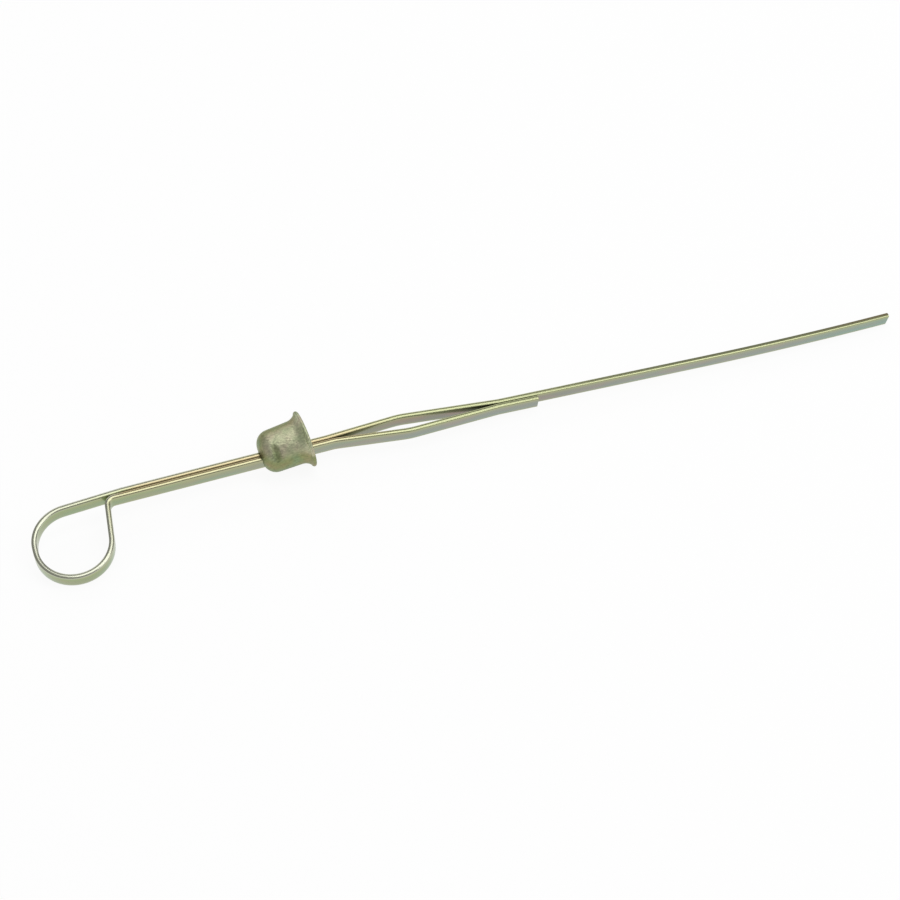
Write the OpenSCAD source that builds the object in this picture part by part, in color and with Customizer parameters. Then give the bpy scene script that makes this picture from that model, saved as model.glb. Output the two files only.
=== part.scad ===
// Engine oil dipstick: one flat steel strip folded into a finger loop, a doubled handle, a
// spring bow and a long blade, with a pressed bell cap staked on the handle.
// It lies on a table as it comes to rest, on the loop's edge, the cap's rim and the blade's tip.
// The origin is the centre of the cap's mouth. +X points to the tip and +Z up.

/* [Strip] */
// Width of the flat strip
strip_w = 5; // [4:0.1:5.4]
// Thickness of the strip
strip_t = 1.6; // [1.2:0.1:1.8]
// Radius of the strip's four corners
edge_r = 0.25; // [0.1:0.05:0.4]
// Radius of the strip's two crowned edges
crown_r = 1.9; // [1.5:0.1:4]
// Gap between the two strips where they lie together
fold_gap = 0.1; // [0.05:0.05:0.3]

/* [Finger loop] */
// Bend radius of the loop, to the middle of the strip
loop_r = 11.6; // [8:0.1:12]
// Depth of the loop below the handle, to the middle of the strip
loop_drop = 24.8; // [24.5:0.1:40]
// Angle at which the upper strip dips towards the loop
lead_dip = 3; // [1:0.5:6]
// Distance from the neck to where the upper strip starts to dip
lead_start = 5; // [1:0.5:12]
// Lean of the run that comes back up to the neck
return_lean = 7; // [1:0.5:15]
// Bend radius of the neck, to the middle of the strip
neck_r = 2.5; // [1.6:0.1:5]

/* [Handle] */
// Length of the doubled handle, from the neck to the cap
handle_len = 50.15; // [40:0.05:90]

/* [Bell cap] */
// Thickness of the cap's pressed sheet
cap_wall = 1; // [0.6:0.1:1.1]
// Outer diameter of the barrel, where the shoulder ends
barrel_d = 14.1; // [14:0.1:20]
// Length of the barrel, from the shoulder to the flare
barrel_len = 7.4; // [4:0.1:15]
// Draft of the barrel, for each side
barrel_draft = 2; // [1:0.5:5]
// Outer radius of the rounded shoulder
shoulder_r = 4.5; // [3:0.1:5]
// Outer radius of the flare
flare_r = 4; // [2:0.1:6]
// Angle of the flare's edge to the cap's axis
flare_angle = 56; // [40:1:75]
// Radius of the bead round the cap's mouth
bead_r = 0.65; // [0.6:0.05:1]
// Lean of the cap on the strip, mouth upwards
cap_tilt = 4.6; // [3:0.1:6]
// Turn of the cap on the strip, mouth away from the loop's side
cap_yaw = 4.6; // [2:0.1:6]
// Height of the cap's crown above the middle of the strip
cap_lift = 1.4; // [1:0.1:1.6]
// Shift of the cap's crown away from the loop's side
cap_shift = 0.84; // [0.5:0.02:1]
// Clearance round the strip in the crown's slot
slot_play = 0.25; // [0.1:0.05:0.3]

/* [Staking groove] */
// Nose radius of the punch that stakes the cap
stake_r = 1.6; // [1:0.1:2]
// Depth of the groove below the barrel
stake_depth = 0.55; // [0.2:0.05:0.8]
// Distance from the crown to the middle of the groove
stake_at = 4.4; // [4:0.1:6]
// Place of the groove round the cap, from the top towards the loop's side
stake_angle = 38; // [0:1:60]

/* [Spring bow] */
// Distance from the cap's mouth to where the upper leg parts
upper_start = 6; // [3:0.5:20]
// Distance from the cap's mouth to where the lower leg parts
lower_start = 8.6; // [3:0.5:20]
// Distance from there to the top of the upper leg
upper_run = 25; // [15:0.5:40]
// Distance from there to the bottom of the lower leg
lower_run = 24.5; // [15:0.5:40]
// Height of the upper leg's top above the handle's upper strip
upper_rise = 1; // [0.5:0.1:4]
// Depth of the lower leg's bottom below the handle's lower strip
lower_drop = 3.3; // [2:0.1:6]
// Distance from the top of the upper leg to where the legs meet again
closing_run = 33.5; // [20:0.5:60]
// Length of the tail that lies along the blade
tail_len = 13.5; // [6:0.5:40]
// Bend radius at the bow's top and bottom
bow_bend_r = 30; // [5:1:40]
// Bend radius where the legs part and meet
part_bend_r = 15; // [5:1:30]

/* [Blade] */
// Depth of the blade's start below the middle of the handle
blade_start_drop = 1.96; // [1:0.02:3]
// Depth of the blade's tip below the middle of the handle
tip_drop = 7.2; // [5:0.1:12]
// Length of the blade's straight stretch
straight_len = 70.5; // [40:0.5:300]
// Length of the blade's gently bowed stretch
bowed_len = 73.3; // [30:0.1:200]

/* [Hidden] */
$fn = 96;
// Turn of the strip in one step of a bend, and the least number of steps
bend_step = 7.5;
least_steps = 3;
// Runs shorter than this are left out, where one bend ends as the next begins
least_run = 0.001;
// Steps round each corner and each crowned edge of the strip, in each curve of the bell's
// section, and round its bead
edge_steps = 3;
crown_steps = 4;
bell_steps = 8;
bead_steps = 32;

// The strip's centre line is drawn in the loop's plane, with the handle along +X and the loop
// towards -Y. Each point is [x, y, bend radius], and the neck is at x = 0.
pair_y = (strip_t + fold_gap) / 2;

// The cap's half section is measured from its axis and from its crown
shoulder_c = [barrel_d / 2 - shoulder_r * cos(barrel_draft), shoulder_r];
barrel_end = barrel_len * cos(barrel_draft);
throat = [barrel_d / 2 + barrel_len * sin(barrel_draft),
          shoulder_r * (1 - sin(barrel_draft)) + barrel_end];
flare_c = throat + flare_r * [cos(barrel_draft), -sin(barrel_draft)];
bead_c = flare_c + (flare_r + cap_wall / 2) * [-cos(flare_angle), sin(flare_angle)];
rim_r = bead_c.x + bead_r;
cap_len = bead_c.y + bead_r;

// Corners of the loop, from the neck round to the start of the lead
loop_right = -(loop_drop - pair_y) * tan(return_lean);
loop_left = loop_right - loop_r * (1 + tan(45 - return_lean / 2));
lead_y = pair_y - (lead_start - loop_left) * tan(lead_dip);

// Stations of the bow and the blade
mouth_x = handle_len + cap_len;
upper_top = [mouth_x + upper_start + upper_run, pair_y + upper_rise];
lower_bottom = [mouth_x + lower_start + lower_run, -pair_y - lower_drop];
blade_start = [upper_top.x + closing_run, -blade_start_drop];
blade_bend = [blade_start.x + straight_len + bowed_len / 2, -tip_drop];
blade_slope = atan2(tip_drop - blade_start_drop, blade_bend.x - blade_start.x);
bowed_r = bowed_len / 2 / tan(blade_slope / 2);
tip_x = blade_bend.x + bowed_len / 2;
beside_blade = (strip_t + fold_gap) * [-sin(blade_slope), -cos(blade_slope)];
tail_start = blade_start + beside_blade;
tail_end = tail_start + tail_len * [cos(blade_slope), -sin(blade_slope)];

strip_route = [
    [tail_end.x, tail_end.y, 0],
    [tail_start.x, tail_start.y, part_bend_r],
    [lower_bottom.x, lower_bottom.y, bow_bend_r],
    [mouth_x + lower_start, -pair_y, part_bend_r],
    [0, -pair_y, neck_r],
    [loop_right, -loop_drop, loop_r],
    [loop_left, -loop_drop, loop_r],
    [loop_left, lead_y, loop_r],
    [lead_start, pair_y, part_bend_r],
    [mouth_x + upper_start, pair_y, part_bend_r],
    [upper_top.x, upper_top.y, bow_bend_r],
    [blade_start.x, blade_start.y, part_bend_r],
    [blade_bend.x, blade_bend.y, bowed_r],
    [tip_x, -tip_drop, 0]
];

// Rest: the loop's edge, the cap's rim and the blade's tip touch the table together. The strip
// touches it on its crown, so the roll and the pitch follow from the heights of the two crowns'
// centres and of the mouth's centre.
cap_axis = [cos(cap_tilt) * cos(cap_yaw), cos(cap_tilt) * sin(cap_yaw), sin(cap_tilt)];
mouth = [handle_len, cap_shift, cap_lift] + cap_len * cap_axis;
crown_c = strip_w / 2 - crown_r;
loop_low = [(loop_left + loop_right) / 2, loop_drop];
tip_low = [tip_x, tip_drop];
pitch_share = (loop_low.y - tip_low.y) / (tip_low.x - loop_low.x);
level = crown_c + mouth.z;
lean = loop_low.y + mouth.y - (mouth.x - loop_low.x) * pitch_share;
rest_roll = atan2(lean, level) - acos((rim_r * cos(cap_tilt) - crown_r) / norm([level, lean]));
rest_pitch = asin(pitch_share * sin(rest_roll));

// Points along a circle's arc, from angle a to angle b
function arc(centre, r, a, b, steps) =
    [for (i = [0 : steps]) let (angle = a + (b - a) * i / steps) centre + r * [cos(angle), sin(angle)]];
function heading(a, b) = atan2(b.y - a.y, b.x - a.x);
function wrapped(angle) = angle > 180 ? angle - 360 : angle < -180 ? angle + 360 : angle;
// Turn at a corner of a route, positive to the left
function turn_at(route, i) =
    i == 0 || i == len(route) - 1 ? 0 :
    wrapped(heading(route[i], route[i + 1]) - heading(route[i - 1], route[i]));
// Length of straight strip that a corner's bend takes up on each side
function taken(route, i) = route[i].z * tan(abs(turn_at(route, i)) / 2);

// Stations of the strip's centre line at one corner, each [x, y, heading]
function bend_stations(route, i) =
    let (turn = turn_at(route, i), start = heading(route[i - 1], route[i]),
         steps = max(least_steps, ceil(abs(turn) / bend_step)),
         side = sign(turn) * route[i].z,
         bend_start = [route[i].x, route[i].y] - taken(route, i) * [cos(start), sin(start)],
         centre = bend_start + side * [-sin(start), cos(start)])
    [for (k = [0 : steps]) let (angle = start + turn * k / steps)
        [centre.x + side * sin(angle), centre.y - side * cos(angle), angle]];
// Stations of a whole route, from its first point to its last
function route_stations(route) =
    let (last = len(route) - 1,
         all = concat(
             [[route[0].x, route[0].y, heading(route[0], route[1])]],
             [for (i = [1 : last - 1]) each bend_stations(route, i)],
             [[route[last].x, route[last].y, heading(route[last - 1], route[last])]]))
    [for (i = [0 : len(all) - 1])
        if (i == 0 || norm([all[i].x - all[i - 1].x, all[i].y - all[i - 1].y]) > least_run) all[i]];

// Outline of the strip's cross-section: its upper half, then the same points turned half round
function strip_section() =
    let (corner_x = strip_t / 2 - edge_r,
         crown_turn = asin(corner_x / (crown_r - edge_r)),
         corner_y = crown_c + (crown_r - edge_r) * cos(crown_turn),
         crown = arc([0, crown_c], crown_r, 90 - crown_turn, 90 + crown_turn, crown_steps),
         half = concat(
             arc([corner_x, corner_y], edge_r, 0, 90 - crown_turn, edge_steps),
             [for (i = [1 : crown_steps - 1]) crown[i]],
             arc([-corner_x, corner_y], edge_r, 90 + crown_turn, 180, edge_steps)))
    concat(half, -half);

// The strip, with its cross-section carried from station to station, as a strip bender forms it
module bent_strip(route) {
    stations = route_stations(route);
    section = strip_section();
    round = len(section);
    last = len(stations) - 1;
    polyhedron(
        points = [for (s = stations, q = section) [s.x - q.x * sin(s.z), s.y + q.x * cos(s.z), q.y]],
        faces = concat(
            [[for (k = [0 : round - 1]) k]],
            [for (i = [0 : last - 1], k = [0 : round - 1])
                [i * round + k, (i + 1) * round + k,
                 (i + 1) * round + (k + 1) % round, i * round + (k + 1) % round]],
            [[for (k = [round - 1 : -1 : 0]) last * round + k]]));
}

// Half section of the bell: crown, shoulder, barrel and flare, back inside, and the bead
module bell_section() {
    polygon(concat(
        [[0, 0]],
        arc(shoulder_c, shoulder_r, -90, -barrel_draft, bell_steps),
        arc(flare_c, flare_r, 180 - barrel_draft, 180 - flare_angle, bell_steps),
        arc(flare_c, flare_r + cap_wall, 180 - flare_angle, 180 - barrel_draft, bell_steps),
        arc(shoulder_c, shoulder_r - cap_wall, -barrel_draft, -90, bell_steps),
        [[0, cap_wall]]));
    translate(bead_c)
        circle(r = bead_r, $fn = bead_steps);
}

// Shoulder and barrel as a filled body, which bounds the wall behind the staking groove
module bell_filling() {
    rotate_extrude()
        polygon(concat(
            [[0, 0]],
            arc(shoulder_c, shoulder_r, -90, -barrel_draft, bell_steps),
            [throat, [0, throat.y]]));
}

// Round-nosed punch, laid across the barrel where the cap is staked
module punch(r) {
    rotate([0, 0, 180 + stake_angle])
        translate([barrel_d / 2 + stake_r - stake_depth, 0, stake_at])
            rotate([90, 0, 0])
                cylinder(h = barrel_d, r = r, center = true);
}

// Puts the cap's axis and crown in their place on the strip
module on_strip() {
    translate([handle_len, cap_shift, cap_lift])
        rotate([0, 90 - cap_tilt, cap_yaw])
            children();
}

// Slot in the crown, which the two strips pass through
module crown_slot() {
    depth = shoulder_r - cap_wall;
    size = [2 * strip_t + fold_gap, strip_w] + 2 * slot_play * [1, 1];
    translate([handle_len - shoulder_r / 2, -size.x / 2, -size.y / 2])
        cube([shoulder_r / 2 + depth, size.x, size.y]);
}

// Lays the whole part down as it rests, with the centre of the cap's mouth at the origin
module at_rest() {
    rotate([0, rest_pitch, 0])
        rotate([rest_roll, 0, 0])
            translate(-mouth)
                children();
}

module dipstick_strip() {
    color("darkkhaki")
        at_rest()
            bent_strip(strip_route);
}

module bell_cap() {
    color("olivedrab")
        at_rest()
            difference() {
                on_strip()
                    difference() {
                        union() {
                            rotate_extrude()
                                bell_section();
                            intersection() {
                                punch(stake_r + cap_wall);
                                bell_filling();
                            }
                        }
                        punch(stake_r);
                    }
                crown_slot();
            }
}

dipstick_strip();
bell_cap();
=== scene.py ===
# %% [markdown]
# # Engine oil dipstick
# The real dipstick is two pieces of steel. A flat spring strip is folded on itself into a
# finger loop, a doubled handle, a spring bow and a long blade, and a pressed bell cap is slotted
# over the doubled strip and staked. Both are plated with zinc and passivated yellow.
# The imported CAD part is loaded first. It fixes every size and place, and this script only
# gives it finer surfaces, its finish, a floor, light and a camera.

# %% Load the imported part
import math

import bmesh
import bpy
from mathutils import Matrix, Vector


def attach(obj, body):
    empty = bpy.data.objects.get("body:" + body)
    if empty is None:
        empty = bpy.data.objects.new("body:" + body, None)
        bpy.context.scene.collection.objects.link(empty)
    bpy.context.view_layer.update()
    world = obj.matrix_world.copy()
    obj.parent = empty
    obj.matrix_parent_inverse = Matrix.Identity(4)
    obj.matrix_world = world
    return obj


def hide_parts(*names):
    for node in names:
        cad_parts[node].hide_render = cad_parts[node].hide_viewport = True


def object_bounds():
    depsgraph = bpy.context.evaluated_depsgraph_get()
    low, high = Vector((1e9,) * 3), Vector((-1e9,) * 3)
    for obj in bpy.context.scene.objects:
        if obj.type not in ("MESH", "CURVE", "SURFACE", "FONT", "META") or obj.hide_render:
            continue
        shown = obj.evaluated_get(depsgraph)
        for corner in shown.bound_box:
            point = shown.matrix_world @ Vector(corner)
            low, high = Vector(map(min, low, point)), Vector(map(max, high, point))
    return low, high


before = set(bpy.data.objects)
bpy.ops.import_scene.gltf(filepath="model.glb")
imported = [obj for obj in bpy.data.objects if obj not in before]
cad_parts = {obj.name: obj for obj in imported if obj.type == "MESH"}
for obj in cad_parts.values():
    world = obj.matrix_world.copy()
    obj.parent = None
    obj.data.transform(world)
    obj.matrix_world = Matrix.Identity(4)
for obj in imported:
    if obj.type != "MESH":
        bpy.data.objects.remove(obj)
cad_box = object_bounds()
MM = 0.001
print("CAD box, mm:", [[round(c / MM, 2) for c in corner] for corner in cad_box])

# %% [markdown]
# ## The strip's route
# A strip bender feeds flat stock and turns it about one pin after another, so the whole shape
# is a list of corners with a bend radius at each. The list below is the CAD part's own, in
# millimetres, in the plane of the finger loop: the handle runs along +X, the loop hangs towards
# -Y, and the neck of the loop is at x = 0.

# %% Sizes of the strip and the cap, in millimetres
STRIP_W, STRIP_T, EDGE_R, CROWN_R, FOLD_GAP = 5.0, 1.6, 0.25, 1.9, 0.1
LOOP_R, LOOP_DROP, LEAD_DIP, LEAD_START = 11.6, 24.8, 3.0, 5.0
RETURN_LEAN, NECK_R, HANDLE_LEN = 7.0, 2.5, 50.15
CAP_WALL, BARREL_D, BARREL_LEN, BARREL_DRAFT = 1.0, 14.1, 7.4, 2.0
SHOULDER_R, FLARE_R, FLARE_ANGLE, BEAD_R = 4.5, 4.0, 56.0, 0.65
CAP_TILT, CAP_YAW, CAP_LIFT, CAP_SHIFT, SLOT_PLAY = 4.6, 4.6, 1.4, 0.84, 0.25
STAKE_R, STAKE_DEPTH, STAKE_AT, STAKE_ANGLE = 1.6, 0.55, 4.4, 38.0
UPPER_START, UPPER_RUN, UPPER_RISE = 6.0, 25.0, 1.0
LOWER_START, LOWER_RUN, LOWER_DROP = 8.6, 24.5, 3.3
CLOSING_RUN, TAIL_LEN, BOW_BEND_R, PART_BEND_R = 33.5, 13.5, 30.0, 15.0
BLADE_START_DROP, TIP_DROP, STRAIGHT_LEN, BOWED_LEN = 1.96, 7.2, 70.5, 73.3


def sin(angle):
    return math.sin(math.radians(angle))


def cos(angle):
    return math.cos(math.radians(angle))


def tan(angle):
    return math.tan(math.radians(angle))


def arc(centre, r, a, b, steps):
    return [centre + r * Vector((cos(a + (b - a) * i / steps), sin(a + (b - a) * i / steps)))
            for i in range(steps + 1)]


# %% Half section of the bell, measured from its axis and its crown
shoulder_c = Vector((BARREL_D / 2 - SHOULDER_R * cos(BARREL_DRAFT), SHOULDER_R))
throat = Vector((BARREL_D / 2 + BARREL_LEN * sin(BARREL_DRAFT),
                 SHOULDER_R * (1 - sin(BARREL_DRAFT)) + BARREL_LEN * cos(BARREL_DRAFT)))
flare_c = throat + FLARE_R * Vector((cos(BARREL_DRAFT), -sin(BARREL_DRAFT)))
to_bead = FLARE_R + CAP_WALL / 2
bead_c = flare_c + to_bead * Vector((-cos(FLARE_ANGLE), sin(FLARE_ANGLE)))
rim_r = bead_c.x + BEAD_R
cap_len = bead_c.y + BEAD_R
print("cap: rim radius %.2f mm, length %.2f mm" % (rim_r, cap_len))

# %% The corners of the route, from the free tail round to the blade's tip
pair_y = (STRIP_T + FOLD_GAP) / 2
mouth_x = HANDLE_LEN + cap_len
loop_right = -(LOOP_DROP - pair_y) * tan(RETURN_LEAN)
loop_left = loop_right - LOOP_R * (1 + tan(45 - RETURN_LEAN / 2))
lead_y = pair_y - (LEAD_START - loop_left) * tan(LEAD_DIP)
upper_top = Vector((mouth_x + UPPER_START + UPPER_RUN, pair_y + UPPER_RISE))
lower_bottom = Vector((mouth_x + LOWER_START + LOWER_RUN, -pair_y - LOWER_DROP))
blade_start = Vector((upper_top.x + CLOSING_RUN, -BLADE_START_DROP))
blade_bend = Vector((blade_start.x + STRAIGHT_LEN + BOWED_LEN / 2, -TIP_DROP))
blade_run = blade_bend - blade_start
blade_slope = math.degrees(math.atan2(-blade_run.y, blade_run.x))
bowed_r = BOWED_LEN / 2 / tan(blade_slope / 2)
tip_x = blade_bend.x + BOWED_LEN / 2
tail_start = blade_start - (STRIP_T + FOLD_GAP) * Vector((sin(blade_slope), cos(blade_slope)))
tail_end = tail_start + TAIL_LEN * Vector((cos(blade_slope), -sin(blade_slope)))
# The loop's bends are a hair tighter than its corners allow, so that two never share a point
LOOP_BEND = LOOP_R - 0.01
corners = [
    (*tail_end, 0), (*tail_start, PART_BEND_R), (*lower_bottom, BOW_BEND_R),
    (mouth_x + LOWER_START, -pair_y, PART_BEND_R), (0, -pair_y, NECK_R),
    (loop_right, -LOOP_DROP, LOOP_BEND), (loop_left, -LOOP_DROP, LOOP_BEND),
    (loop_left, lead_y, LOOP_BEND), (LEAD_START, pair_y, PART_BEND_R),
    (mouth_x + UPPER_START, pair_y, PART_BEND_R), (*upper_top, BOW_BEND_R),
    (*blade_start, PART_BEND_R), (*blade_bend, bowed_r), (tip_x, -TIP_DROP, 0)]
print("route:", len(corners), "corners")

# %% [markdown]
# ## How it rests
# The dipstick lies on the finger loop's edge, the cap's rim and the blade's tip. The heights of
# these three points give the roll and the pitch, as they do in the CAD part, so the finer
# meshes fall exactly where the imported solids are.

# %% The turn that lays it down, with the cap's mouth at the origin
cap_axis = Vector((cos(CAP_TILT) * cos(CAP_YAW), cos(CAP_TILT) * sin(CAP_YAW), sin(CAP_TILT)))
mouth = Vector((HANDLE_LEN, CAP_SHIFT, CAP_LIFT)) + cap_len * cap_axis
loop_low = Vector(((loop_left + loop_right) / 2, LOOP_DROP))
tip_low = Vector((tip_x, TIP_DROP))
pitch_share = (loop_low.y - tip_low.y) / (tip_low.x - loop_low.x)
level = STRIP_W / 2 - CROWN_R + mouth.z
lean = loop_low.y + mouth.y - (mouth.x - loop_low.x) * pitch_share
rest_roll = (math.atan2(lean, level)
             - math.acos((rim_r * cos(CAP_TILT) - CROWN_R) / math.hypot(level, lean)))
rest_pitch = math.asin(pitch_share * math.sin(rest_roll))
at_rest = (Matrix.Scale(MM, 4) @ Matrix.Rotation(rest_pitch, 4, "Y")
           @ Matrix.Rotation(rest_roll, 4, "X") @ Matrix.Translation(-mouth))
print("rest: roll %.2f, pitch %.2f degrees" % (math.degrees(rest_roll), math.degrees(rest_pitch)))

# %% [markdown]
# ## One helper for nodes
# Geometry trees and materials are both made of nodes, so one small function serves both. It
# adds a node, sets its properties, and fills each named input with a value or a link.


# %% Add a node with its settings and links
def add(tree, kind, inputs=None, **settings):
    node = tree.nodes.new(kind)
    for name, value in settings.items():
        setattr(node, name, value)
    for name, value in (inputs or {}).items():
        socket = node.inputs[name]
        if isinstance(value, bpy.types.NodeSocket):
            tree.links.new(value, socket)
        else:
            socket.default_value = value
    return node


# %% [markdown]
# ## Yellow-passivated zinc on steel
# Bright zinc is dipped in a chromate bath, which leaves a film thin enough to show colours:
# straw and olive, with green, grey and a little pink where it is thicker or thinner. Under it
# the rolled strip keeps its fine drawn lines. The gloss is satin, because the film is slightly
# milky. Colours are picked as sRGB hex values and turned to linear by one function.


# %% Colour helper and the finish's colours
def linear(hex_value):
    parts = [int(hex_value[i:i + 2], 16) / 255 for i in (1, 3, 5)]
    return [c / 12.92 if c <= 0.04045 else ((c + 0.055) / 1.055) ** 2.4 for c in parts] + [1.0]


FILM_STRAW, FILM_PINK, FILM_CREAM = "#B4B57E", "#AE9C90", "#B0AF8C"
FILM_GREEN, FILM_MAUVE, FILM_GREY, FILM_TEAL = "#9DAC6E", "#867067", "#989890", "#86A294"
EDGE_BROWN, EDGE_OLIVE, EDGE_SILVER = "#B0A27C", "#A7AB84", "#B6B8A6"
CAP_FILM = [(0.36, "#9A946C"), (0.5, "#92986A"), (0.64, "#8A9A72")]
# Paler colours of the cap's painted highlight band
CAP_PAINTED_LIGHT = [(0.38, "#CCC6AA"), (0.5, "#C8CAA8"), (0.62, "#BEC6A0")]
# Painted shade for the hollow of the staking groove
GROOVE_PAINTED_SHADE = "#7E8A5C"
# The cap's painted highlight, a paler band painted along one side of the bell: which side it runs
# along, and how far out towards that side it begins and is complete, as shares of the barrel's
# diameter
PAINTED_LIGHT_SIDE, PAINTED_LIGHT_FROM, PAINTED_LIGHT_TO = (-0.96, -0.28, 0), 0.3, 0.5
# Shares of the patches and of the shade from top to bottom in a face's colour
PATCH_SHARE, SHADE_SHARE = 0.3, 0.3
# In the section, +X is the inside of the fold, and +Y is down when the dipstick lies at rest
INWARD = 1
UPWARD = -1

# %% [markdown]
# The film follows the metal, so its stretches are placed by the bends. This works out how far
# along the strip the middle of each bend lies.


# %% Distance along the strip of each bend
def bend_places(corners):
    places, gone = [0.0], 0.0
    for a, b, c in zip(corners, corners[1:], corners[2:]):
        run = Vector(b[:2]) - Vector(a[:2])
        turn = run.angle(Vector(c[:2]) - Vector(b[:2]))
        cut = b[2] * (math.tan(turn / 2) - turn / 2)
        places.append(gone + run.length - cut)
        gone = places[-1] - cut
    return places + [gone + (Vector(corners[-1][:2]) - Vector(corners[-2][:2])).length]


places = bend_places(corners)
strip_length = places[-1]
(lower_leg, handle_end, neck, loop_start, lead, upper_leg, bow_top, blade, bowed) = (
    places[i] for i in (2, 3, 4, 5, 8, 9, 10, 11, 12))
print("flat strip: %.1f x %.1f x %.1f mm" % (strip_length, STRIP_W, STRIP_T))
# Faces: grey on the tail, green on the handle and loop, mauve down the bow's upper leg, grey
# again on the blade and blue-green at its tip
FACE_FILM = [(0, FILM_GREY), (lower_leg, FILM_GREY), (neck, FILM_GREEN), (lead, FILM_GREEN),
             ((bow_top + blade) / 2, FILM_MAUVE), ((blade + bowed) / 2, FILM_GREY),
             (bowed, FILM_GREY), (bowed + BOWED_LEN / 4, FILM_TEAL), (strip_length, FILM_TEAL)]
# Edges: cream on the handle, silver round the loop, olive on the tail, bow and blade
EDGE_FILM = [(0, EDGE_OLIVE), (lower_leg, EDGE_OLIVE), (handle_end, FILM_CREAM),
             (neck, FILM_CREAM), (loop_start, EDGE_SILVER), (lead, EDGE_SILVER),
             (upper_leg, FILM_CREAM), (bow_top, EDGE_OLIVE), (bowed, EDGE_OLIVE),
             (strip_length, EDGE_BROWN)]
# Inner edges: where the strip is doubled, the edges that face each other are painted browner and
# darker, as painted shade in the groove between the strips; elsewhere this is the inner edges' own
# film colour
INNER_FILM_AND_GAP_SHADE = [(0, EDGE_OLIVE), (lower_leg, EDGE_OLIVE), (handle_end, EDGE_BROWN),
              (neck - LEAD_START, EDGE_BROWN), (neck, EDGE_SILVER),
              (loop_start + LOOP_R * math.pi, EDGE_SILVER), (lead, EDGE_OLIVE),
              (lead + LEAD_START, EDGE_BROWN), (upper_leg, EDGE_BROWN), (bow_top, EDGE_OLIVE),
              (strip_length, EDGE_OLIVE)]


# %% A colour ramp from a list of stops
def add_ramp(tree, value, stops):
    ramp = add(tree, "ShaderNodeValToRGB", {"Fac": value})
    for at, _ in stops[1:-1]:
        ramp.color_ramp.elements.new(at)
    for element, (at, colour) in zip(ramp.color_ramp.elements, stops):
        element.position = at
        element.color = linear(colour)
    return ramp.outputs["Color"]


# %% Material of the strip
def make_strip_zinc():
    mat = bpy.data.materials.new("yellow_passivated_zinc_on_rolled_strip")
    mat.use_nodes = True
    tree = mat.node_tree
    tree.nodes.clear()
    place = add(tree, "ShaderNodeAttribute", attribute_name="strip_place").outputs["Vector"]
    parts = add(tree, "ShaderNodeSeparateXYZ", {"Vector": place}).outputs
    # The bath drains along the strip, so the film's colour drifts over its length
    share = add(tree, "ShaderNodeMath", {0: parts["X"], 1: 1 / (strip_length * MM)},
                operation="MULTIPLY").outputs[0]
    drift = add_ramp(tree, share, [(at / strip_length, colour) for at, colour in FACE_FILM])
    outside = add_ramp(tree, share, [(at / strip_length, colour) for at, colour in EDGE_FILM])
    # Inner edges' colour, browner and darker where the strip is doubled: painted shade between the
    # strips
    inside = add_ramp(tree, share, [(at / strip_length, colour) for at, colour in INNER_FILM_AND_GAP_SHADE])
    outward = add(tree, "ShaderNodeMapRange", {
        "Value": parts["Y"], "From Min": INWARD * STRIP_T * MM / 4,
        "From Max": -INWARD * STRIP_T * MM / 4}).outputs["Result"]
    edge = add(tree, "ShaderNodeMix", {"Factor": outward, "A": inside, "B": outside},
               data_type="RGBA").outputs[2]
    # Patches of pink and blue-green are some 12 mm long and 3 mm wide
    patch_at = add(tree, "ShaderNodeVectorMath", {0: place, 1: (80, 300, 300)},
                   operation="MULTIPLY").outputs[0]
    patches = add(tree, "ShaderNodeTexNoise", {"Vector": patch_at, "Scale": 1.0, "Detail": 3.0})
    tint = add_ramp(tree, patches.outputs["Fac"], [(0.42, FILM_PINK), (0.58, FILM_TEAL)])
    face = add(tree, "ShaderNodeMix", {"Factor": PATCH_SHARE, "A": drift, "B": tint},
               data_type="RGBA").outputs[2]
    # The upper half of each face is more yellow and the lower half more blue-green
    height = add(tree, "ShaderNodeMapRange", {
        "Value": parts["Z"], "From Min": -UPWARD * STRIP_W * MM / 2,
        "From Max": UPWARD * STRIP_W * MM / 2}).outputs["Result"]
    shade = add_ramp(tree, height, [(0.1, FILM_TEAL), (0.5, FILM_GREY), (0.9, FILM_STRAW)])
    face = add(tree, "ShaderNodeMix", {"Factor": SHADE_SHARE, "A": face, "B": shade},
               data_type="RGBA").outputs[2]
    # The edge's own film begins 1.3 mm in from it and is complete 0.1 mm in from it
    off_middle = add(tree, "ShaderNodeMath", {0: parts["Z"]}, operation="ABSOLUTE").outputs[0]
    at_edge = add(tree, "ShaderNodeMapRange", {
        "Value": off_middle, "From Min": (STRIP_W / 2 - 1.3) * MM,
        "From Max": (STRIP_W / 2 - 0.1) * MM}, interpolation_type="SMOOTHSTEP").outputs["Result"]
    film = add(tree, "ShaderNodeMix", {"Factor": at_edge, "A": face, "B": edge},
               data_type="RGBA")
    # Drawn lines are 0.3 mm apart, coarser than the real ones so that they show
    lines_at = add(tree, "ShaderNodeVectorMath", {0: place, 1: (60, 3300, 3300)},
                   operation="MULTIPLY").outputs[0]
    lines = add(tree, "ShaderNodeTexNoise", {"Vector": lines_at, "Scale": 1.0, "Detail": 2.0})
    rough = add(tree, "ShaderNodeMapRange", {"Value": lines.outputs["Fac"],
                                             "To Min": 0.14, "To Max": 0.26})
    bump = add(tree, "ShaderNodeBump", {"Height": lines.outputs["Fac"], "Strength": 0.04,
                                        "Distance": 0.00005})
    shader = add(tree, "ShaderNodeBsdfPrincipled", {
        "Base Color": film.outputs[2], "Metallic": 1.0,
        "Roughness": rough.outputs["Result"], "Normal": bump.outputs["Normal"]})
    add(tree, "ShaderNodeOutputMaterial", {"Surface": shader.outputs["BSDF"]})
    return mat


strip_zinc = make_strip_zinc()


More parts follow.
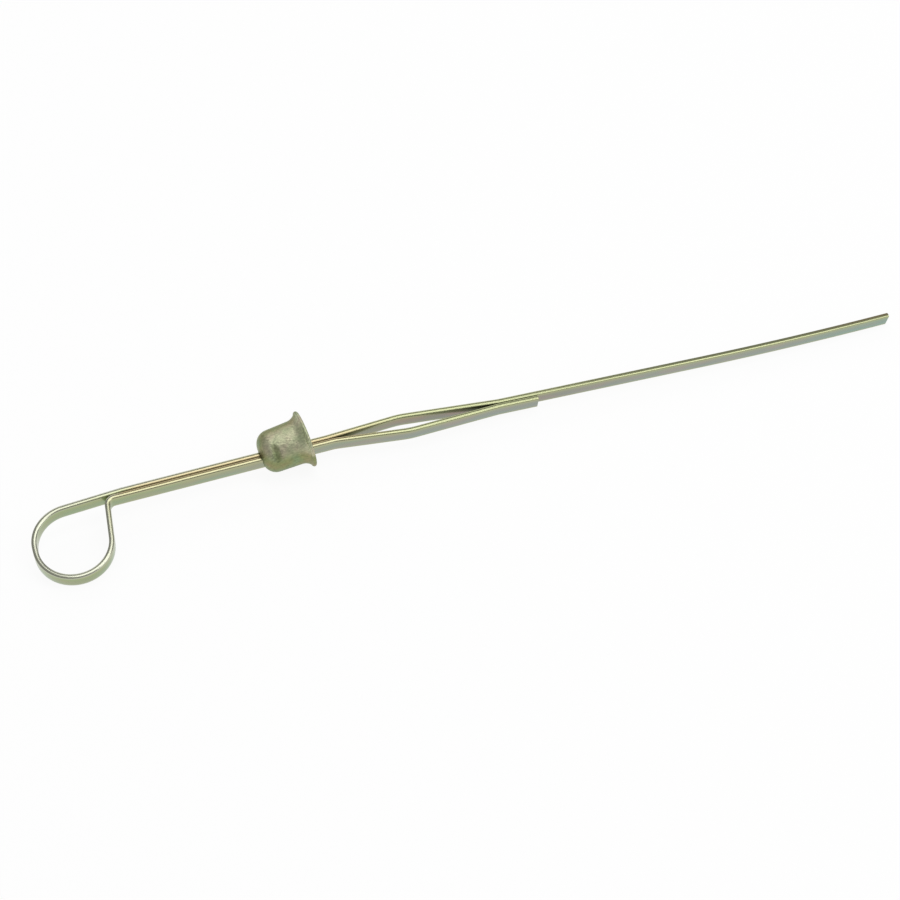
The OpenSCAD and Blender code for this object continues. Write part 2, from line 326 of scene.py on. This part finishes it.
# %% Material of the bell cap
def make_cap_zinc():
    mat = bpy.data.materials.new("yellow_passivated_zinc_on_pressed_sheet")
    mat.use_nodes = True
    tree = mat.node_tree
    tree.nodes.clear()
    place = add(tree, "ShaderNodeAttribute", attribute_name="cap_place").outputs["Vector"]
    # Clouds of brown, olive and green are some 5 mm across. Along one side of the bell a paler
    # band is painted in: painted light, a broad painted highlight.
    patches = add(tree, "ShaderNodeTexNoise", {"Vector": place, "Scale": 200.0, "Detail": 3.0})
    film = add_ramp(tree, patches.outputs["Fac"], CAP_FILM)
    painted_light = add_ramp(tree, patches.outputs["Fac"], CAP_PAINTED_LIGHT)
    to_side = add(tree, "ShaderNodeVectorMath", {0: place, 1: PAINTED_LIGHT_SIDE},
                  operation="DOT_PRODUCT").outputs["Value"]
    painted_light_share = add(tree, "ShaderNodeMapRange", {
        "Value": to_side, "From Min": PAINTED_LIGHT_FROM * BARREL_D * MM,
        "From Max": PAINTED_LIGHT_TO * BARREL_D * MM}, interpolation_type="SMOOTHSTEP").outputs["Result"]
    film = add(tree, "ShaderNodeMix", {"Factor": painted_light_share, "A": film, "B": painted_light},
               data_type="RGBA").outputs[2]
    # The staking groove is painted darker, as painted shade in the recess. The punch is a round
    # bar lying across the wall, so the painted shade is placed by the distance from that bar's
    # axis.
    out_there = add(tree, "ShaderNodeVectorMath", {
        0: place, 1: (-cos(STAKE_ANGLE), -sin(STAKE_ANGLE), 0)}, operation="DOT_PRODUCT")
    height = add(tree, "ShaderNodeSeparateXYZ", {"Vector": place}).outputs["Z"]
    beside = add(tree, "ShaderNodeCombineXYZ", {"X": out_there.outputs["Value"], "Y": height})
    from_bar = add(tree, "ShaderNodeVectorMath", {
        0: beside.outputs["Vector"],
        1: ((BARREL_D / 2 - STAKE_DEPTH + STAKE_R) * MM, STAKE_AT * MM, 0)}, operation="DISTANCE")
    painted_groove_shade = add(tree, "ShaderNodeMapRange", {
        "Value": from_bar.outputs["Value"], "From Min": 1.3 * STAKE_R * MM,
        "From Max": 0.8 * STAKE_R * MM}, interpolation_type="SMOOTHSTEP").outputs["Result"]
    film = add(tree, "ShaderNodeMix", {"Factor": painted_groove_shade, "A": film, "B": linear(GROOVE_PAINTED_SHADE)},
               data_type="RGBA").outputs[2]
    # Drawing leaves a grain 0.6 mm across and a little longer along the axis
    grain_at = add(tree, "ShaderNodeVectorMath", {0: place, 1: (1600, 1600, 900)},
                   operation="MULTIPLY").outputs[0]
    grain = add(tree, "ShaderNodeTexNoise", {"Vector": grain_at, "Scale": 1.0, "Detail": 2.0})
    flecks = add(tree, "ShaderNodeMapRange", {"Value": grain.outputs["Fac"], "From Min": 0.3,
                                              "From Max": 0.7, "To Min": 0.82, "To Max": 1.18})
    film = add(tree, "ShaderNodeMix", {"Factor": 1.0, "A": film, "B": flecks.outputs["Result"]},
               data_type="RGBA", blend_type="MULTIPLY").outputs[2]
    rough = add(tree, "ShaderNodeMapRange", {"Value": grain.outputs["Fac"],
                                             "To Min": 0.38, "To Max": 0.56})
    bump = add(tree, "ShaderNodeBump", {"Height": grain.outputs["Fac"], "Strength": 0.8,
                                        "Distance": 0.00028})
    shader = add(tree, "ShaderNodeBsdfPrincipled", {
        "Base Color": film, "Metallic": 1.0,
        "Roughness": rough.outputs["Result"], "Normal": bump.outputs["Normal"]})
    add(tree, "ShaderNodeOutputMaterial", {"Surface": shader.outputs["BSDF"]})
    return mat


cap_zinc = make_cap_zinc()

# %% [markdown]
# ## The strip
# Geometry Nodes suit it, because its shape follows a rule: one flat section carried along one
# route. The corners go in as a plain polyline whose point radius is the bend radius. The tree
# rounds every corner and sweeps the section along the result. It also stores each point's
# distance along the strip and its place in the section, so that the finish can follow the metal
# round every bend.

# %% The corner line
corner_curve = bpy.data.curves.new("strip_corners", "CURVE")
corner_curve.dimensions = "3D"
spline = corner_curve.splines.new("POLY")
spline.points.add(len(corners) - 1)
for point, (x, y, radius) in zip(spline.points, corners):
    point.co = (x, y, 0, 1)
    point.radius = radius
corner_line = bpy.data.objects.new("strip_corners", corner_curve)
bpy.context.collection.objects.link(corner_line)


# %% The section, with crowned edges and small corners
crown_c = STRIP_W / 2 - CROWN_R
corner_x = STRIP_T / 2 - EDGE_R
crown_turn = math.degrees(math.asin(corner_x / (CROWN_R - EDGE_R)))
corner_y = crown_c + (CROWN_R - EDGE_R) * cos(crown_turn)
half = (arc(Vector((corner_x, corner_y)), EDGE_R, 0, 90 - crown_turn, 5)
        + arc(Vector((0, crown_c)), CROWN_R, 90 - crown_turn, 90 + crown_turn, 8)[1:-1]
        + arc(Vector((-corner_x, corner_y)), EDGE_R, 90 + crown_turn, 180, 5))
section_curve = bpy.data.curves.new("strip_section", "CURVE")
spline = section_curve.splines.new("POLY")
spline.points.add(2 * len(half) - 1)
for point, place in zip(spline.points, half + [-p for p in half]):
    point.co = (place.x, place.y, 0, 1)
spline.use_cyclic_u = True
section_line = bpy.data.objects.new("strip_section", section_curve)
bpy.context.collection.objects.link(section_line)


# %% The tree that bends the strip
def make_strip_tree():
    tree = bpy.data.node_groups.new("Bend flat strip", "GeometryNodeTree")
    tree.interface.new_socket("Geometry", in_out="INPUT", socket_type="NodeSocketGeometry")
    for name, kind in (("Section", "NodeSocketObject"), ("Steps in a bend", "NodeSocketInt"),
                       ("Finish", "NodeSocketMaterial")):
        tree.interface.new_socket(name, in_out="INPUT", socket_type=kind)
    tree.interface.new_socket("Geometry", in_out="OUTPUT", socket_type="NodeSocketGeometry")
    given = add(tree, "NodeGroupInput").outputs
    bend_radius = add(tree, "GeometryNodeInputRadius").outputs["Radius"]
    route = add(tree, "GeometryNodeFilletCurve", {
        "Curve": given["Geometry"], "Count": given["Steps in a bend"], "Radius": bend_radius},
        mode="POLY").outputs["Curve"]
    route = add(tree, "GeometryNodeSetCurveRadius", {"Curve": route, "Radius": 1.0}).outputs[0]
    route = add(tree, "GeometryNodeSetCurveNormal", {"Curve": route}, mode="Z_UP").outputs[0]
    along = add(tree, "GeometryNodeSplineParameter").outputs["Length"]
    route = add(tree, "GeometryNodeStoreNamedAttribute", {
        "Geometry": route, "Name": "along", "Value": along},
        data_type="FLOAT", domain="POINT").outputs[0]
    section = add(tree, "GeometryNodeObjectInfo", {"Object": given["Section"]}).outputs["Geometry"]
    in_section = add(tree, "GeometryNodeInputPosition").outputs[0]
    section = add(tree, "GeometryNodeStoreNamedAttribute", {
        "Geometry": section, "Name": "in_section", "Value": in_section},
        data_type="FLOAT_VECTOR", domain="POINT").outputs[0]
    strip = add(tree, "GeometryNodeCurveToMesh", {
        "Curve": route, "Profile Curve": section, "Fill Caps": True}).outputs[0]
    strip = add(tree, "GeometryNodeRealizeInstances", {"Geometry": strip}).outputs[0]
    strip = add(tree, "GeometryNodeSetMaterial", {
        "Geometry": strip, "Material": given["Finish"]}).outputs[0]
    out = add(tree, "NodeGroupOutput")
    tree.links.new(strip, out.inputs["Geometry"])
    return tree


# %% Run a tree once and keep its plain mesh
def grow(obj, tree, values, name):
    modifier = obj.modifiers.new("grow", "NODES")
    modifier.node_group = tree
    sockets = {s.name: s.identifier for s in tree.interface.items_tree
               if s.item_type == "SOCKET" and s.in_out == "INPUT"}
    for socket_name, value in values.items():
        modifier[sockets[socket_name]] = value
    evaluated = obj.evaluated_get(bpy.context.evaluated_depsgraph_get())
    mesh = bpy.data.meshes.new_from_object(evaluated)
    mesh.name = name
    bpy.data.objects.remove(obj)
    piece = bpy.data.objects.new(name, mesh)
    bpy.context.collection.objects.link(piece)
    return piece


strip = grow(corner_line, make_strip_tree(), {
    "Section": section_line, "Steps in a bend": 28, "Finish": strip_zinc}, "folded_strip")
bpy.data.objects.remove(section_line)
print("strip:", len(strip.data.vertices), "points,", strip.data.attributes.keys())


# %% Close, place and shade a finished mesh
# Points nearer than this, in millimetres, are one point
SAME_POINT = 0.0005


def settle(piece, sharp_angle):
    work = bmesh.new()
    work.from_mesh(piece.data)
    bmesh.ops.remove_doubles(work, verts=work.verts, dist=SAME_POINT)
    bmesh.ops.recalc_face_normals(work, faces=work.faces)
    work.to_mesh(piece.data)
    work.free()
    piece.data.transform(at_rest)
    for face in piece.data.polygons:
        face.use_smooth = True
    piece.data.set_sharp_from_angle(angle=math.radians(sharp_angle))
    size = [round(d / MM, 2) for d in piece.dimensions]
    print(piece.name, "has", len(piece.data.polygons), "faces and is", size, "mm")


along = strip.data.attributes["along"].data
in_section = strip.data.attributes["in_section"].data
strip_place = strip.data.attributes.new("strip_place", "FLOAT_VECTOR", "POINT")
for i, item in enumerate(strip_place.data):
    across = in_section[i].vector
    item.vector = (along[i].value * MM, across.x * MM, across.y * MM)
settle(strip, 40)

# %% [markdown]
# ## The bell cap
# A press draws the cap from sheet and flares its mouth, so it is a body of revolution with one
# wall thickness. Its half section is spun here as rings of points, which leaves room to push
# the staking groove into the wall, inside and out, as the punch does.


# %% Rings of the bell, with the staking groove
def straight(a, b, steps):
    return [a.lerp(b, i / steps) for i in range(1, steps)]


# The sheet yields softly round the punch, over about this many millimetres
YIELD = 0.2


def staked(radius, height, turn, offset):
    """Radius of the wall once the round-nosed punch has pushed it in."""
    across = min(abs(height - STAKE_AT) / (STAKE_R + offset), 1.0)
    nose = (BARREL_D / 2 - STAKE_DEPTH - offset
            + (STAKE_R + offset) * (1 - math.sqrt(1 - across * across)))
    facing = math.cos(turn)
    # The punch reaches neither the far side of the bell nor past its own width
    if facing <= 0.3 or across >= 1:
        return radius
    gap = (radius - nose / facing) / YIELD
    if gap <= -6:
        return radius
    return radius - YIELD * (math.log1p(math.exp(gap)) if gap < 30 else gap)


def corner_angle(beside, along, across):
    """Angle between two sides of a triangle, from its three lengths."""
    return math.degrees(math.acos((beside ** 2 + along ** 2 - across ** 2) / (2 * beside * along)))


inside_r = FLARE_R + CAP_WALL
outer = (arc(shoulder_c, SHOULDER_R, -90, -BARREL_DRAFT, 24)
         + straight(Vector((BARREL_D / 2, SHOULDER_R * (1 - sin(BARREL_DRAFT)))), throat, 16)
         + arc(flare_c, FLARE_R, 180 - BARREL_DRAFT,
               180 - FLARE_ANGLE + corner_angle(FLARE_R, to_bead, BEAD_R), 20)
         + arc(bead_c, BEAD_R, -FLARE_ANGLE - corner_angle(BEAD_R, to_bead, FLARE_R),
               90 - FLARE_ANGLE, 12)[1:])
inner = (arc(bead_c, BEAD_R, 90 - FLARE_ANGLE,
             360 - FLARE_ANGLE - corner_angle(BEAD_R, to_bead, inside_r), 12)[1:]
         + arc(flare_c, inside_r, 180 - FLARE_ANGLE + corner_angle(inside_r, to_bead, BEAD_R),
               180 - BARREL_DRAFT, 20)[1:]
         + straight(throat + CAP_WALL * Vector((-cos(BARREL_DRAFT), sin(BARREL_DRAFT))),
                    Vector((BARREL_D / 2 - CAP_WALL, SHOULDER_R)), 16)
         + arc(shoulder_c, SHOULDER_R - CAP_WALL, -BARREL_DRAFT, -90, 24))
TURNS = 192
bell = bmesh.new()
rings = []
for part, offset in ((outer, 0.0), (inner, CAP_WALL)):
    for radius, height in part:
        ring = []
        for k in range(TURNS):
            turn = 2 * math.pi * k / TURNS
            away = (turn - math.radians(180 + STAKE_ANGLE) + math.pi) % (2 * math.pi) - math.pi
            r = staked(radius, height, away, offset)
            ring.append(bell.verts.new((r * math.cos(turn), r * math.sin(turn), height)))
        rings.append(ring)
for a, b in zip(rings, rings[1:]):
    for k in range(TURNS):
        bell.faces.new((a[k], a[(k + 1) % TURNS], b[(k + 1) % TURNS], b[k]))
bell.faces.new(rings[0])
bell.faces.new(rings[-1])
bmesh.ops.recalc_face_normals(bell, faces=bell.faces)
cap_mesh = bpy.data.meshes.new("bell_cap_sheet")
bell.to_mesh(cap_mesh)
bell.free()
on_strip = (Matrix.Translation((HANDLE_LEN, CAP_SHIFT, CAP_LIFT))
            @ Matrix.Rotation(math.radians(CAP_YAW), 4, "Z")
            @ Matrix.Rotation(math.radians(90 - CAP_TILT), 4, "Y"))
cap_mesh.transform(on_strip)
cap_mesh.materials.append(cap_zinc)
cap = bpy.data.objects.new("bell_cap_sheet", cap_mesh)
bpy.context.collection.objects.link(cap)
print("bell:", len(cap_mesh.vertices), "points")

# %% [markdown]
# ## The slot in the crown
# A blanking punch cuts the slot that the doubled strip passes through. A plain box the size of
# that punch is taken away from the crown.

# %% Cut the slot
slot_work = bmesh.new()
bmesh.ops.create_cube(slot_work, size=1.0)
slot_size = Vector((SHOULDER_R, 2 * STRIP_T + FOLD_GAP + 2 * SLOT_PLAY, STRIP_W + 2 * SLOT_PLAY))
for vert in slot_work.verts:
    vert.co = Vector([a * b for a, b in zip(vert.co, slot_size)]) + Vector((HANDLE_LEN, 0, 0))
slot_mesh = bpy.data.meshes.new("slot_punch")
slot_work.to_mesh(slot_mesh)
slot_work.free()
slot_punch = bpy.data.objects.new("slot_punch", slot_mesh)
bpy.context.collection.objects.link(slot_punch)
cut = cap.modifiers.new("slot", "BOOLEAN")
cut.object = slot_punch
cut.operation = "DIFFERENCE"
cut.solver = "EXACT"
with_slot = bpy.data.meshes.new_from_object(
    cap.evaluated_get(bpy.context.evaluated_depsgraph_get()))
cap.modifiers.clear()
cap.data = with_slot
bpy.data.objects.remove(slot_punch)
cap_place = with_slot.attributes.new("cap_place", "FLOAT_VECTOR", "POINT")
for vertex, item in zip(with_slot.vertices, cap_place.data):
    item.vector = on_strip.inverted() @ vertex.co * MM
settle(cap, 35)
print("cap keeps", cap.data.attributes.keys())

# %% [markdown]
# ## Hand the pieces to the frame
# Each finished mesh stands for its CAD solid and rides on the one body.

# %% Ride and replace
for piece, node, slot in ((strip, "dipstick_strip", "strip_zinc"), (cap, "bell_cap", "cap_zinc")):
    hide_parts(node)
    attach(piece, "root")

# %% [markdown]
# ## Floor, light and camera
# The dipstick lies on plain white paper. The floor is white to the camera, and in what the
# metal reflects, and keeps a faint soft shadow. A soft light overhead gives the bright line on
# the strip's rolled edges. A wide one behind and one at the front right shape the bell, and the
# plain grey world fills the rest.

# %% Floor
# It reaches 40 m each way, so that its far edge is close to the horizon in a low view
FLOOR_REACH = 40.0
# How far the floor is white of itself where it is seen, and how bright that white is. The rest
# is lit paper, which keeps the shadow.
FLOOR_WHITE, FLOOR_GLOW = 0.88, 1.04
table_z = cad_box[0][2]
floor_work = bmesh.new()
bmesh.ops.create_grid(floor_work, x_segments=1, y_segments=1, size=FLOOR_REACH)
floor_mesh = bpy.data.meshes.new("floor")
floor_work.to_mesh(floor_mesh)
floor_work.free()
floor_mesh.transform(Matrix.Translation((0, 0, table_z)))
floor = bpy.data.objects.new("floor", floor_mesh)
bpy.context.collection.objects.link(floor)
floor_mat = bpy.data.materials.new("white_paper_sweep")
floor_mat.use_nodes = True
tree = floor_mat.node_tree
tree.nodes.clear()
rays = add(tree, "ShaderNodeLightPath").outputs
seen = add(tree, "ShaderNodeMath", {0: rays["Is Camera Ray"], 1: rays["Is Glossy Ray"]},
           operation="MAXIMUM").outputs[0]
seen = add(tree, "ShaderNodeMath", {0: seen, 1: rays["Is Transmission Ray"]},
           operation="MAXIMUM").outputs[0]
share = add(tree, "ShaderNodeMath", {0: seen, 1: FLOOR_WHITE}, operation="MULTIPLY").outputs[0]
paper = add(tree, "ShaderNodeBsdfDiffuse", {"Color": linear("#F4F4F4")})
white = add(tree, "ShaderNodeEmission", {"Color": (1, 1, 1, 1), "Strength": FLOOR_GLOW})
mixed = add(tree, "ShaderNodeMixShader", {"Fac": share, 1: paper.outputs[0], 2: white.outputs[0]})
add(tree, "ShaderNodeOutputMaterial", {"Surface": mixed.outputs[0]})
floor_mesh.materials.append(floor_mat)

# %% World and lamps
world = bpy.data.worlds.new("studio")
bpy.context.scene.world = world
world.use_nodes = True
world.node_tree.nodes["Background"].inputs["Color"].default_value = linear("#C8C8C8")
world.node_tree.nodes["Background"].inputs["Strength"].default_value = 0.65


def add_soft_light(name, at, aim, size, watts):
    data = bpy.data.lights.new(name, "AREA")
    data.shape = "RECTANGLE"
    data.size, data.size_y = size
    data.energy = watts
    lamp = bpy.data.objects.new(name, data)
    lamp.location = at
    lamp.rotation_euler = (Vector(aim) - Vector(at)).to_track_quat("-Z", "Y").to_euler()
    bpy.context.collection.objects.link(lamp)
    return lamp


add_soft_light("overhead", (0.145, 0.1, 1.2), (0.145, 0, 0), (0.61, 0.6), 2.3)
add_soft_light("back_wall", (0.0, 1.6, 1.0), (0, 0, 0), (1.6, 0.9), 4.5)
add_soft_light("front_window", (0.75, -0.5, 1.1), (0.15, 0, 0), (0.6, 0.95), 3.6)

# %% Camera, at the photograph's viewing angle
# Its place in millimetres and its directions are given in the strip's own frame, before it
# lies down, so they take the same turn as the pieces
eye = Vector((-13.55, -264.4, 459.6))
right = Vector((0.9414, -0.3286, 0.0740)).normalized()
back = -Vector((0.2293, 0.4657, -0.8546)).normalized()
up = back.cross(right).normalized()
right = up.cross(back)
turned = Matrix.Rotation(rest_pitch, 3, "Y") @ Matrix.Rotation(rest_roll, 3, "X")
camera_data = bpy.data.cameras.new("camera")
camera_data.sensor_width = 36
camera_data.lens = 66.04
print("camera: %.0f mm lens, %.0f mm from the neck of the loop" % (camera_data.lens, eye.length))
camera = bpy.data.objects.new("camera", camera_data)
camera.matrix_world = Matrix.Translation(at_rest @ eye) @ (
    turned @ Matrix((right, up, back)).transposed()).to_4x4()
bpy.context.collection.objects.link(camera)
bpy.context.scene.camera = camera
bpy.context.scene.view_settings.view_transform = "Standard"
